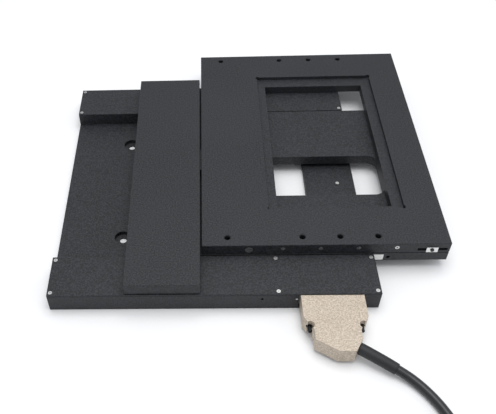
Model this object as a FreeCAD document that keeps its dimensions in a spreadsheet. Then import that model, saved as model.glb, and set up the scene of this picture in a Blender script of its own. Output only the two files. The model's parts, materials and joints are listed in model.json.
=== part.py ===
import FreeCAD, Part
import math
import os
import re
from FreeCAD import Placement, Rotation, Vector

# A low-profile motorised XY scanning stage, in millimetres.
# Origin: centre of the base's underside. +X to the right, +Y to the back, +Z up.
# The carriage slides along X in the base's channel, and the top plate slides along Y on it.
# The model stands with the carriage at its right-hand limit and the top plate near its rear limit.

doc = FreeCAD.newDocument("xy_stage")
sheet = doc.addObject("Spreadsheet::Sheet", "Sizes")

SIZES = [
    # base
    ("base_w", 280, "base width"),
    ("base_d", 280, "base depth"),
    ("floor_t", 6, "channel floor thickness"),
    ("strip_w", 42, "width of the raised front and rear strips"),
    ("strip_top", 20, "height of the strips with their covers"),
    ("cover_t", 1.5, "strip cover thickness"),
    ("base_edge", 0.35, "small chamfer on the plates' edges"),
    ("light_x", 47.5, "centre of the light opening"),
    ("light_w", 90, "width of the light opening"),
    ("light_d", 92, "depth of the light opening"),
    ("light_r", 8, "corner radius of the light opening"),
    ("mount_dx", 164, "mounting hole spacing along X"),
    ("mount_dy", 128, "mounting hole spacing along Y"),
    ("mount_r", 3.3, "mounting hole radius"),
    ("bore_r", 7.5, "counterbore radius"),
    ("bore_web", 2, "metal left under a counterbore"),
    ("pocket_wall", 6.5, "wall between a strip's pocket and its faces"),
    ("pocket_floor", 2, "floor under a strip's pocket"),
    ("cover_screw_in", 3.4, "cover screws from the strip's edges"),
    ("cover_screw_end", 3, "end cover screws from the base's ends"),
    ("cover_head_r", 1.7, "cover screw head radius"),
    ("cover_shank_r", 1.1, "cover screw shank radius"),
    ("cover_screw_long", 7, "cover screw length"),
    ("floor_screw_x", 123.6, "place of the screw on the right cross-member"),
    ("floor_screw_y", 2, "and along Y"),
    ("floor_screw_r", 1.25, "its shank radius"),
    ("floor_screw_head_r", 1.7, "its head radius"),
    ("pocket_end", 7, "wall between a strip's pocket and the base's ends"),
    ("seat_half", 27, "half width of the connector's seat"),
    ("seat_deep", 14, "depth of the connector's seat"),
    ("seat_floor", 2.5, "floor under the connector's seat"),
    ("pin_hole_x", 41.5, "place of the small hole in the front face"),
    ("pin_hole_z", 13.5, "and its height"),
    ("pin_hole_r", 1.3, "its radius"),
    ("earth_x", 70.3, "place of the earth screw in the front face"),
    ("earth_z", 13.3, "and its height"),
    ("earth_r", 1, "its radius"),
    ("bracket_arm_t", 3.2, "thickness of the X nut bracket's arm"),
    ("bracket_arm_half", 12, "half width of the X nut bracket's arm"),
    ("bracket_play", 0.4, "clearance around the X nut bracket's arm"),
    # carriage
    ("side_gap", 1, "gap between a strip and the carriage, and between two rails"),
    ("car_w", 278.4, "carriage width"),
    ("car_t", 10, "carriage thickness"),
    ("x_off", 65, "carriage centre right of the base centre as it stands"),
    ("slot_left", 36.5, "carriage slot, left of the carriage centre"),
    ("slot_right", 98.5, "carriage slot, right of the carriage centre"),
    ("slot_d", 53, "carriage slot depth"),
    ("slot_r", 10, "carriage slot corner radius"),
    ("drive_room_end", 3.5, "wall at the ends of the Y drive's room"),
    ("carriage_skin", 2, "carriage left under the Y drive's room"),
    ("end_hole_r", 1.7, "radius of the hole in the carriage's edge"),
    # drive cover, top plate
    ("plate_gap", 0.5, "gap between the carriage and the top plate or the drive cover's ends"),
    ("plate_t", 11.5, "thickness of the top plate and of the drive cover"),
    ("bar_w", 64, "drive cover width"),
    ("bar_gap", 1.6, "gap between the drive cover and the top plate"),
    ("plate_d", 278, "depth of the top plate and of the drive cover"),
    ("shell_t", 3, "drive cover side wall"),
    ("roof_t", 2.5, "drive cover roof"),
    ("y_off", 42, "top plate centre behind the base centre as it stands"),
    ("open_left", 68.8, "sample opening from the top plate's left edge"),
    ("open_w", 102.3, "sample opening width"),
    ("open_front", 47.2, "sample opening from the top plate's front edge"),
    ("open_d", 178, "sample opening depth"),
    ("rim_left", 8.4, "ledge left of the sample opening"),
    ("rim_right", 10.1, "ledge right of the sample opening"),
    ("rim_front", 4.8, "ledge in front of the sample opening"),
    ("rim_back", 12.8, "ledge behind the sample opening"),
    ("ledge_deep", 3.5, "depth of the insert ledge"),
    ("relief_r", 2.2, "corner relief radius of the insert recess"),
    ("grid", 32.5, "pitch of the tapped holes"),
    ("tap_left", 22.2, "first tapped hole from the top plate's left edge"),
    ("tap_front", 9.5, "front tapped holes from the front edge"),
    ("tap_r", 2.5, "tapped hole radius"),
    ("tap_sink", 0.7, "countersink depth on a tapped hole"),
    ("set_screw_r", 1.9, "front set screw radius"),
    ("set_screw_down", 4.9, "front set screws below the top face"),
    ("set_screw_long", 7, "front set screw length"),
    ("plug_r", 3.4, "front plug radius"),
    ("plug_left", 40.7, "front plug from the top plate's left edge"),
    ("plug_up", 5.4, "front plug above the plate's underside"),
    ("flag_right", 15.5, "limit flag from the top plate's right edge"),
    ("flag_up", 4, "limit flag's slot above the plate's underside"),
    ("flag_half", 4.9, "half width of the limit flag"),
    ("flag_t", 0.8, "limit flag thickness"),
    ("flag_screw_r", 1, "radius of the limit flag's screw"),
    # crossed roller ways
    ("roller", 3, "roller diameter"),
    ("roller_play", 0.05, "clearance between a roller and its groove"),
    ("rail_t", 4.5, "rail thickness across the way"),
    ("x_rail_down", 5.5, "X ways below the carriage's top"),
    ("x_rail_tall", 7, "height of an X rail"),
    ("x_fixed_half", 72, "half length of the X rails in the base"),
    ("x_moving_half", 84, "half length of the X rails on the carriage"),
    ("x_groove_half", 74, "half length of the groove in those rails"),
    ("x_cage_half", 39, "half length of an X cage"),
    ("y_rail_up", 4.1, "Y ways above the top plate's underside"),
    ("y_rail_half", 90, "half length of the Y rails"),
    ("y_cage_half", 48, "half length of a Y cage"),
    ("y_way_in", 7, "centre of a Y way from the top plate's side edge"),
    ("pocket_deep", 8, "depth of the rail pockets under the top plate"),
    ("cage_t", 0.4, "cage strip thickness"),
    ("cage_tall", 6.4, "cage strip height"),
    ("roller_pitch", 6, "roller pitch"),
    # drives
    ("screw_r", 3, "drive screw radius"),
    ("nut_r", 6.5, "drive nut radius"),
    ("nut_half", 8, "half length of a drive nut"),
    ("fit", 0.05, "running clearance of a shaft or a screw"),
    ("motor_r", 8, "motor radius"),
    ("motor_long", 28, "motor length"),
    ("encoder_long", 10, "encoder length"),
    ("coupling_r", 7, "coupling radius"),
    ("hub_long", 6.5, "coupling hub length"),
    ("disc_long", 4.6, "coupling disc length"),
    ("tongue_t", 3, "width of a coupling tongue"),
    ("tongue_deep", 1.8, "height of a coupling tongue"),
    ("block_t", 7, "bearing block thickness"),
    ("block_half_w", 8, "half width of a bearing block, a motor mount or a nut block"),
    ("block_half", 7.8, "half height of a bearing block, a motor mount or a nut block"),
    ("motor_mount_t", 3, "motor mount thickness"),
    ("bearing_r", 6, "bearing outer radius"),
    ("x_axis_in", 27, "X drive's axis from the base's front face"),
    ("x_axis_z", 10.3, "height of the X drive's axis"),
    ("x_motor_in", 9, "X drive from the base's left end"),
    ("x_nut_x", 75, "X of the X drive's nut as it stands"),
    ("x_travel", 130, "X travel"),
    ("y_axis_left", 20, "Y drive's axis left of the drive cover's right side"),
    ("y_axis_up", 0.8, "Y drive's axis above the carriage's top"),
    ("y_motor_in", 5, "Y drive from the carriage's rear edge"),
    ("y_nut_y", 14.5, "Y of the Y drive's nut as it stands"),
    ("y_travel", 85, "Y travel"),
    # connector and cable
    ("hood_x", 99.2, "centre of the connector"),
    ("hood_z", 11.2, "height of the connector's split line"),
    ("hood_half_t", 7.7, "half thickness of the connector hood"),
    ("hood_half_w", 26, "half width of the connector hood"),
    ("hood_gap", 0.2, "gap between the base and the connector hood"),
    ("hood_wide_long", 24.1, "length of the hood's wide part"),
    ("hood_neck_half", 18.4, "half width of the hood's body"),
    ("hood_long", 53.1, "length of the connector hood"),
    ("hood_wall", 2, "hood wall"),
    ("hood_shoulder_long", 9, "length of the slanted shoulders beside the hood's body"),
    ("hood_shoulder_up", 3, "how far the shoulders' slant runs up the wide part's sides"),
    ("hood_notch_r", 3.3, "radius of the round notches around the jackscrews' tails"),
    ("hood_notch_in", 4.4, "the notches' centres, forward of the wide part"),
    ("jack_dx", 21.1, "jackscrew offset from the connector's centre"),
    ("jack_r", 1.5, "jackscrew radius"),
    ("jack_play", 0.1, "clearance of a jackscrew in the hood and the plug"),
    ("jack_head_r", 2.8, "jackscrew head radius"),
    ("jack_head_t", 2.1, "thickness of a jackscrew's head"),
    ("jack_seat", 1.3, "depth of the counterbore that a jackscrew's head sits in"),
    ("jack_tail_r", 1.7, "radius of a jackscrew's tail"),
    ("jack_tail_long", 6, "length of a jackscrew's tail"),
    ("jack_post_r", 2.4, "jack post radius"),
    ("shell_half", 17.9, "half width of the plug's shell"),
    ("shell_half_t", 4, "half thickness of the plug's shell"),
    ("shell_play", 0.2, "clearance of the plug's shell in the socket"),
    ("cable_d", 7.8, "cable diameter"),
    ("boot_r", 4.85, "mean radius of the cable boot"),
    ("coil_r", 46, "mean radius of the coil"),
    ("coil_x", 131, "X of the coil's centre"),
    ("coil_y", -309, "Y of the coil's centre"),
]
ALIASES = {alias for alias, value, note in SIZES}

# places that follow from the sizes, used by name in the expressions below
PLACES = {
    "car_bot": "(strip_top - car_t)",
    "plate_bot": "(strip_top + plate_gap)",
    "top_z": "(strip_top + plate_gap + plate_t)",
    "x_rail_z": "(strip_top - x_rail_down)",
    "y_rail_z": "(strip_top + plate_gap + y_rail_up)",
    "y_axis_z": "(strip_top + y_axis_up)",
    "x_axis_y": "(x_axis_in - base_d / 2)",
    "x_motor_end": "(x_motor_in - base_w / 2)",
    "y_motor_end": "(base_d / 2 - strip_w - side_gap - y_motor_in)",
    "hood_front_y": "(-base_d / 2 - hood_gap)",
    "hood_flange_y": "(-base_d / 2 - hood_gap - hood_wide_long)",
    "hood_end_y": "(-base_d / 2 - hood_gap - hood_long)",
}
WORD = re.compile("[a-z][a-z_0-9]*")
for row, (alias, value, note) in enumerate(SIZES, 1):
    sheet.set(f"A{row}", note)
    sheet.set(f"B{row}", str(value))
    sheet.setAlias(f"B{row}", alias)
doc.recompute()


def size(alias):
    return float(sheet.get(alias))


def bound(text):
    """An expression text with its places written out and the sheet's name put before each alias."""
    text = WORD.sub(lambda word: PLACES.get(word[0], word[0]), str(text))
    return WORD.sub(lambda word: "Sizes." + word[0] if word[0] in ALIASES else word[0], text)


def value(text):
    """The number that an expression text comes to."""
    probe = doc.addObject("App::FeaturePython", "probe")
    probe.addProperty("App::PropertyFloat", "Result")
    probe.setExpression("Result", bound(text))
    doc.recompute()
    found = probe.Result
    doc.removeObject(probe.Name)
    return found


# ---------------------------------------------------------------- building blocks
NODES = []
TURN = {"x": Rotation(Vector(0, 1, 0), 90), "y": Rotation(Vector(1, 0, 0), -90), "z": Rotation()}


def place(item, where):
    for axis, text in zip("xyz", where):
        item.setExpression(f"Placement.Base.{axis}", bound(text))


def box(name, x, y, z):
    item = doc.addObject("Part::Box", name)
    for side, (low, high) in zip(("Length", "Width", "Height"), (x, y, z)):
        item.setExpression(side, bound(f"({high}) - ({low})"))
    place(item, (x[0], y[0], z[0]))
    return item


def rod(name, along, radius, span, centre):
    """A cylinder along an axis; centre gives its two other coordinates in X, Y, Z order."""
    item = doc.addObject("Part::Cylinder", name)
    item.Placement = Placement(Vector(), TURN[along])
    item.setExpression("Radius", bound(radius))
    item.setExpression("Height", bound(f"({span[1]}) - ({span[0]})"))
    where = list(centre)
    where.insert("xyz".index(along), span[0])
    place(item, where)
    return item


def cone(name, along, radii, span, centre):
    item = doc.addObject("Part::Cone", name)
    item.Placement = Placement(Vector(), TURN[along])
    item.setExpression("Radius1", bound(radii[0]))
    item.setExpression("Radius2", bound(radii[1]))
    item.setExpression("Height", bound(f"({span[1]}) - ({span[0]})"))
    where = list(centre)
    where.insert("xyz".index(along), span[0])
    place(item, where)
    return item


def fuse(name, items):
    item = doc.addObject("Part::MultiFuse", name)
    item.Shapes = items
    return item


def cut(name, body, tools):
    item = doc.addObject("Part::Cut", name)
    item.Base = body
    item.Tool = tools[0] if len(tools) == 1 else fuse(name + "_cuts", tools)
    return item


def group(name, items):
    """Separate solids that share one node, such as a set of screws."""
    item = doc.addObject("Part::Compound", name)
    item.Links = items
    return item


def edged(name, body, alias="base_edge"):
    """A block with a small chamfer on all twelve of its edges."""
    item = doc.addObject("Part::Chamfer", name)
    item.Base = body
    doc.recompute()
    item.Edges = [(number, size(alias), size(alias)) for number in range(1, len(body.Shape.Edges) + 1)]
    return item


def round_box(name, x, y, z, radius):
    """A box whose four upright edges are round."""
    body = box(name + "_box", x, y, z)
    doc.recompute()
    upright = []
    for number, edge in enumerate(body.Shape.Edges, 1):
        ends = [corner.Point for corner in edge.Vertexes]
        if abs(ends[0].z - ends[1].z) > 0.5 * edge.Length:
            upright.append((number, size(radius), size(radius)))
    item = doc.addObject("Part::Fillet", name)
    item.Base = body
    item.Edges = upright
    return item


def node(name, item):
    item.Label = name
    NODES.append(item)
    return item


# ---------------------------------------------------------------- shared places
HALF_W = "base_w / 2"
HALF_D = "base_d / 2"
INNER = "(base_d / 2 - strip_w)"           # the strips' inner walls
CAR_Y = "(base_d / 2 - strip_w - side_gap)"  # the carriage's front and rear edges
SHELF = "(strip_top - cover_t)"            # where the covers lie
CAR_X0 = "(x_off - car_w / 2)"
CAR_X1 = "(x_off + car_w / 2)"
BAR_X1 = "(x_off - car_w / 2 + bar_w)"
TOP_X0 = "(x_off - car_w / 2 + bar_w + bar_gap)"
TOP_Y0 = "(y_off - plate_d / 2)"
TOP_Y1 = "(y_off + plate_d / 2)"
CAR_TOP = "strip_top"
RAIL_GROOVE = "(roller + 2 * roller_play)"
X_RAIL_LOW = "(x_rail_z - x_rail_tall / 2)"
X_RAIL_HIGH = "(x_rail_z + x_rail_tall / 2)"
Y_AXIS_X = "(x_off - car_w / 2 + bar_w - y_axis_left)"
ARM_ROOF = "(floor_t + bracket_arm_t + 2 * bracket_play)"
SIDES = (("front", -1), ("rear", 1))


def mirrored(sign, near, far):
    """The Y range from near to far on the front (-1) or the rear (+1) side."""
    return (f"-({far})", f"-({near})") if sign < 0 else (near, far)


# ---------------------------------------------------------------- base
def cover_screw_places():
    end = f"({HALF_W} - cover_screw_end)"
    step = "(grid * 3 - 1.5)"
    xs = (f"-{end}", f"-{end} + {step}", f"-{end} + 2 * {step}", end)
    ys = (f"({INNER} + cover_screw_in)", f"({HALF_D} - cover_screw_in)")
    return [(x, y) for x in xs for y in ys]


def base_plate():
    blank = box("base_blank", (f"-{HALF_W}", HALF_W), (f"-{HALF_D}", HALF_D), ("0", SHELF))
    body = edged("base_edged", blank)
    tools = [
        box("channel", (f"-{HALF_W} - 1", f"{HALF_W} + 1"), (f"-{INNER}", INNER),
            ("floor_t", f"{SHELF} + 1")),
        round_box("light", ("light_x - light_w / 2", "light_x + light_w / 2"),
                  ("-light_d / 2", "light_d / 2"), ("-1", "floor_t + 1"), "light_r"),
    ]
    for number, (sx, sy) in enumerate(((-1, -1), (-1, 1), (1, -1), (1, 1))):
        spot = (f"{sx} * mount_dx / 2", f"{sy} * mount_dy / 2")
        tools.append(rod(f"mount_hole_{number}", "z", "mount_r", ("-1", "floor_t + 1"), spot))
        tools.append(rod(f"mount_bore_{number}", "z", "bore_r", ("bore_web", "floor_t + 1"), spot))
    for side, sign in SIDES:
        tools.append(box(f"{side}_pocket", (f"-{HALF_W} + pocket_end", f"{HALF_W} - pocket_end"),
                         mirrored(sign, f"{INNER} + pocket_wall", f"{HALF_D} - pocket_wall"),
                         ("pocket_floor", f"{SHELF} + 1")))
        tools.append(box(f"{side}_rail_seat", ("-x_fixed_half", "x_fixed_half"),
                         mirrored(sign, f"{INNER} - 1", f"{INNER} + rail_t"), (X_RAIL_LOW, X_RAIL_HIGH)))
        for number, (x, y) in enumerate(cover_screw_places()):
            tools.append(rod(f"{side}_cover_tap_{number}", "z", "cover_shank_r + fit",
                             ("strip_top - cover_screw_long", f"{SHELF} + 1"), (x, f"{sign} * {y}")))
    arm_room = "(bracket_arm_half + 1)"
    tools.append(box("arm_slot", (f"x_nut_x - x_travel - {arm_room}", f"x_nut_x + {arm_room}"),
                     (f"-{INNER} - pocket_wall - 1", f"-{INNER} + 1"), ("floor_t", ARM_ROOF)))
    tools.append(box("connector_seat", ("hood_x - seat_half", "hood_x + seat_half"),
                     (f"-{HALF_D} - 1", f"-{HALF_D} + seat_deep"), ("seat_floor", f"{SHELF} + 1")))
    face_span = (f"-{HALF_D} - 1", f"-{HALF_D} + 5")
    tools.append(rod("front_pin_hole", "y", "pin_hole_r", face_span, ("pin_hole_x", "pin_hole_z")))
    tools.append(rod("earth_screw_hole", "y", "earth_r + fit", face_span, ("earth_x", "earth_z")))
    tools.append(rod("floor_screw_hole", "z", "floor_screw_r + fit", ("1", "floor_t + 1"),
                     ("floor_screw_x", "floor_screw_y")))
    node("base_plate", cut("base_plate", body, tools))


def strip_cover(side, sign):
    body = edged(f"{side}_cover_edged", box(f"{side}_cover_blank", (f"-{HALF_W}", HALF_W),
                                            mirrored(sign, INNER, HALF_D), (SHELF, "strip_top")))
    tools = []
    for number, (x, y) in enumerate(cover_screw_places()):
        spot = (x, f"{sign} * {y}")
        tools.append(rod(f"{side}_cover_hole_{number}", "z", "cover_shank_r + fit",
                         (f"{SHELF} - 1", "strip_top + 1"), spot))
        tools.append(cone(f"{side}_cover_sink_{number}", "z", ("cover_shank_r + fit", "cover_head_r + fit"),
                          ("strip_top - cover_head_r + cover_shank_r", "strip_top"), spot))
    node(f"{side}_cover", cut(f"{side}_cover", body, tools))


def cover_screws():
    screws = []
    for side, sign in SIDES:
        for number, (x, y) in enumerate(cover_screw_places()):
            spot = (x, f"{sign} * {y}")
            head = cone(f"{side}_screw_head_{number}", "z", ("cover_shank_r", "cover_head_r"),
                        ("strip_top - cover_head_r + cover_shank_r", "strip_top"), spot)
            shank = rod(f"{side}_screw_shank_{number}", "z", "cover_shank_r",
                        ("strip_top - cover_screw_long + 0.3", "strip_top - cover_head_r + cover_shank_r"),
                        spot)
            socket = doc.addObject("Part::Prism", f"{side}_screw_socket_{number}")
            socket.Polygon = 6
            socket.setExpression("Circumradius", bound("cover_head_r * 0.42"))
            socket.setExpression("Height", "1")
            place(socket, (spot[0], spot[1], "strip_top - 0.7"))
            solid = fuse(f"{side}_screw_solid_{number}", [head, shank])
            screws.append(cut(f"{side}_screw_{number}", solid, [socket]))
    node("cover_screws", group("cover_screws", screws))


def small_base_screws():
    earth = rod("earth_screw", "y", "earth_r", (f"-{HALF_D} - 0.3", f"-{HALF_D} + 4"), ("earth_x", "earth_z"))
    spot = ("floor_screw_x", "floor_screw_y")
    head = rod("floor_screw_head", "z", "floor_screw_head_r", ("floor_t", "floor_t + 1.3"), spot)
    shank = rod("floor_screw_shank", "z", "floor_screw_r", ("1.3", "floor_t"), spot)
    node("small_screws", group("small_screws", [earth, fuse("floor_screw", [head, shank])]))


# ---------------------------------------------------------------- crossed roller ways
def groove(name, along, half, centre, mid):
    """A square bar on edge: it cuts the V groove of both rails of one way."""
    item = doc.addObject("Part::Box", name)
    tilt = Rotation(Vector(1, 0, 0), 45) if along == "x" else Rotation(Vector(0, 1, 0), 45)
    item.Placement = Placement(Vector(), tilt)
    long_side, across = ("Length", "Width") if along == "x" else ("Width", "Length")
    item.setExpression(long_side, bound(f"2 * ({half})"))
    item.setExpression(across, bound(RAIL_GROOVE))
    item.setExpression("Height", bound(RAIL_GROOVE))
    diagonal = f"{RAIL_GROOVE} * {math.sqrt(0.5):.6f}"
    if along == "x":
        place(item, (f"{mid} - ({half})", centre[0], f"{centre[1]} - {diagonal}"))
    else:
        place(item, (f"{centre[0]} - {diagonal}", f"{mid} - ({half})", centre[1]))
    return item


def x_rails():
    fixed, moving = zip(*(x_way(side, sign) for side, sign in SIDES))
    node("x_fixed_rails", group("x_fixed_rails", fixed))
    node("x_moving_rails", group("x_moving_rails", moving))


def x_way(side, sign):
    gap_y = f"{sign} * ({INNER} - side_gap / 2)"
    fixed = box(f"x_rail_{side}_fixed_bar", ("-x_fixed_half", "x_fixed_half"),
                mirrored(sign, INNER, f"{INNER} + rail_t"), (X_RAIL_LOW, X_RAIL_HIGH))
    tools = [groove(f"x_groove_{side}_fixed", "x", "x_fixed_half + 1", (gap_y, "x_rail_z"), "0")]
    for number, (x, y) in enumerate(cover_screw_places()):
        tools.append(rod(f"x_rail_{side}_tap_{number}", "z", "cover_shank_r + fit",
                         ("strip_top - cover_screw_long", f"{SHELF} + 1"), (x, f"{sign} * {y}")))
    fixed = cut(f"x_rail_{side}_fixed", fixed, tools)
    moving = box(f"x_rail_{side}_moving_bar", ("x_off - x_moving_half", "x_off + x_moving_half"),
                 mirrored(sign, f"{CAR_Y} - rail_t", CAR_Y), (X_RAIL_LOW, X_RAIL_HIGH))
    tools = [groove(f"x_groove_{side}_moving", "x", "x_groove_half", (gap_y, "x_rail_z"), "x_off")]
    return fixed, cut(f"x_rail_{side}_moving", moving, tools)


def cage_and_rollers(name, along, half_alias, centre, mid):
    """A cage strip with its windows, and its rollers, tilted one way and then the other."""
    half = size(half_alias)
    pitch = size("roller_pitch")
    count = int(2 * half // pitch)
    offsets = [(number - (count - 1) / 2) * pitch for number in range(count)]
    across = ("-cage_t / 2", "cage_t / 2")
    upright = ("-cage_tall / 2", "cage_tall / 2")
    window_half = "(roller / 2 + 0.2)"
    window_tall = f"(roller * {math.sqrt(0.5):.6f} + 0.25)"
    if along == "x":
        def piece(label, low, high, thick, tall):
            return box(label, (f"{mid} + {low}", f"{mid} + {high}"),
                       (f"{centre[0]} + {thick[0]}", f"{centre[0]} + {thick[1]}"),
                       (f"{centre[1]} + {tall[0]}", f"{centre[1]} + {tall[1]}"))
    else:
        def piece(label, low, high, thick, tall):
            return box(label, (f"{centre[0]} + {thick[0]}", f"{centre[0]} + {thick[1]}"),
                       (f"{mid} + {low}", f"{mid} + {high}"),
                       (f"{centre[1]} + {tall[0]}", f"{centre[1]} + {tall[1]}"))
    strip = piece(name + "_strip", f"-{half_alias}", half_alias, across, upright)
    windows, rollers = [], []
    for number, offset in enumerate(offsets):
        windows.append(piece(f"{name}_window_{number}", f"({offset}) - {window_half}",
                             f"({offset}) + {window_half}", ("-1", "1"), (f"-{window_tall}", window_tall)))
        roller = doc.addObject("Part::Cylinder", f"{name}_roller_{number}")
        roller.setExpression("Radius", bound("roller / 2"))
        roller.setExpression("Height", bound("roller - 2 * roller_play"))
        lean = 45 if number % 2 else -45
        axis = Vector(1, 0, 0) if along == "x" else Vector(0, 1, 0)
        turn = Rotation(axis, lean)
        roller.Placement = Placement(Vector(), turn)
        reach = turn.multVec(Vector(0, 0, -0.5))
        step = "(roller - 2 * roller_play)"
        if along == "x":
            place(roller, (f"{mid} + ({offset})", f"{centre[0]} + ({reach.y:.6f}) * {step}",
                           f"{centre[1]} + ({reach.z:.6f}) * {step}"))
        else:
            place(roller, (f"{centre[0]} + ({reach.x:.6f}) * {step}", f"{mid} + ({offset})",
                           f"{centre[1]} + ({reach.z:.6f}) * {step}"))
        rollers.append(roller)
    return cut(name, strip, windows), rollers


def y_way_x(side):
    """Centre of a Y way, and the sign that points from it to the top plate's edge."""
    if side == "left":
        return f"({TOP_X0} + y_way_in)", -1
    return f"({CAR_X1} - y_way_in)", 1


def y_way(side):
    mid_x, outward = y_way_x(side)

    def across(near, far, sign):
        if sign < 0:
            return (f"{mid_x} - ({far})", f"{mid_x} - ({near})")
        return (f"{mid_x} + ({near})", f"{mid_x} + ({far})")

    fixed = box(f"y_rail_{side}_fixed_bar", across("side_gap / 2", "side_gap / 2 + rail_t", -outward),
                ("-y_rail_half", "y_rail_half"), (CAR_TOP, "plate_bot + pocket_deep - 0.6"))
    tool = groove(f"y_groove_{side}_fixed", "y", "y_rail_half + 1", (mid_x, "y_rail_z"), "0")
    fixed = cut(f"y_rail_{side}_fixed", fixed, [tool])
    moving = box(f"y_rail_{side}_moving_bar", across("side_gap / 2", "side_gap / 2 + rail_t", outward),
                 ("y_off - y_rail_half", "y_off + y_rail_half"),
                 ("plate_bot + 0.4", "plate_bot + pocket_deep"))
    tool = groove(f"y_groove_{side}_moving", "y", "y_rail_half + 1", (mid_x, "y_rail_z"), "y_off")
    return fixed, cut(f"y_rail_{side}_moving", moving, [tool])


def y_rails():
    fixed, moving = zip(*(y_way(side) for side in ("left", "right")))
    node("y_fixed_rails", group("y_fixed_rails", fixed))
    node("y_moving_rails", group("y_moving_rails", moving))


def cages():
    """Both cages of an axis share one node, and so do their rollers."""
    for along, half, mid, places in (
            ("x", "x_cage_half", "x_off / 2",
             [(f"{sign} * ({INNER} - side_gap / 2)", "x_rail_z") for side, sign in SIDES]),
            ("y", "y_cage_half", "y_off / 2",
             [(y_way_x(side)[0], "y_rail_z") for side in ("left", "right")])):
        pairs = [cage_and_rollers(f"{along}_cage_{number}", along, half, centre, mid)
                 for number, centre in enumerate(places)]
        strips, rollers = zip(*pairs)
        node(f"{along}_cages", group(f"{along}_cages", strips))
        node(f"{along}_rollers", group(f"{along}_rollers", sum(rollers, [])))


# ---------------------------------------------------------------- carriage
def drive_cavity(name, z):
    return box(name, (f"{CAR_X0} + shell_t", f"{BAR_X1} - shell_t"),
               (f"-{CAR_Y} + drive_room_end", f"{CAR_Y} - drive_room_end"), z)


def carriage_plate():
    body = edged("carriage_edged", box("carriage_blank", (CAR_X0, CAR_X1), (f"-{CAR_Y}", CAR_Y),
                                       ("car_bot", CAR_TOP)))
    tools = [
        round_box("carriage_slot", ("x_off - slot_left", "x_off + slot_right"), ("-slot_d / 2", "slot_d / 2"),
                  ("car_bot - 1", f"{CAR_TOP} + 1"), "slot_r"),
        drive_cavity("drive_pocket", ("car_bot + carriage_skin", f"{CAR_TOP} + 1")),
    ]
    for side, sign in SIDES:
        tools.append(box(f"{side}_moving_seat", ("x_off - x_moving_half", "x_off + x_moving_half"),
                         mirrored(sign, f"{CAR_Y} - rail_t", f"{CAR_Y} + 1"), (X_RAIL_LOW, X_RAIL_HIGH)))
        tools.append(rod(f"{side}_end_hole", "y", "end_hole_r",
                         mirrored(sign, f"{CAR_Y} - 6", f"{CAR_Y} + 1"),
                         ("x_off + x_moving_half + 4", "x_rail_z")))
    node("carriage_plate", cut("carriage_plate", body, tools))


def drive_cover():
    y_range = ("-plate_d / 2", "plate_d / 2")
    blank = box("drive_cover_blank", (CAR_X0, BAR_X1), y_range, ("plate_bot", "top_z"))
    body = edged("drive_cover_edged", blank)
    skirt = box("drive_cover_skirt", (CAR_X0, BAR_X1), (f"-{CAR_Y}", CAR_Y), (CAR_TOP, "plate_bot + 1"))
    arm_slot = box("drive_arm_slot", (f"{BAR_X1} - shell_t - 1", f"{BAR_X1} + 1"),
                   ("y_nut_y - y_travel - 12", "y_nut_y + 12"), (f"{CAR_TOP} + 0.8", f"{CAR_TOP} + 6.2"))
    cavity = drive_cavity("drive_cavity", (f"{CAR_TOP} - 1", "top_z - roof_t"))
    node("drive_cover", cut("drive_cover", fuse("drive_cover_solid", [body, skirt]), [cavity, arm_slot]))


# ---------------------------------------------------------------- top plate
def tap_places():
    rows = (f"{TOP_Y0} + tap_front", f"{TOP_Y0} + tap_front + 8 * grid")
    return [(f"{TOP_X0} + tap_left + {step} * grid", row) for step in (0, 2, 3, 4) for row in rows]


def set_screw_places():
    return [f"{TOP_X0} + tap_left + {step} * grid" for step in (1.47, 2.47, 3.47, 4.47)]


SET_SCREW_Z = "top_z - set_screw_down"
FLAG_X = f"({CAR_X1} - flag_right)"
FLAG_Z = "(plate_bot + flag_up)"
PLUG_SPOT = (f"{TOP_X0} + plug_left", "plate_bot + plug_up")


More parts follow.
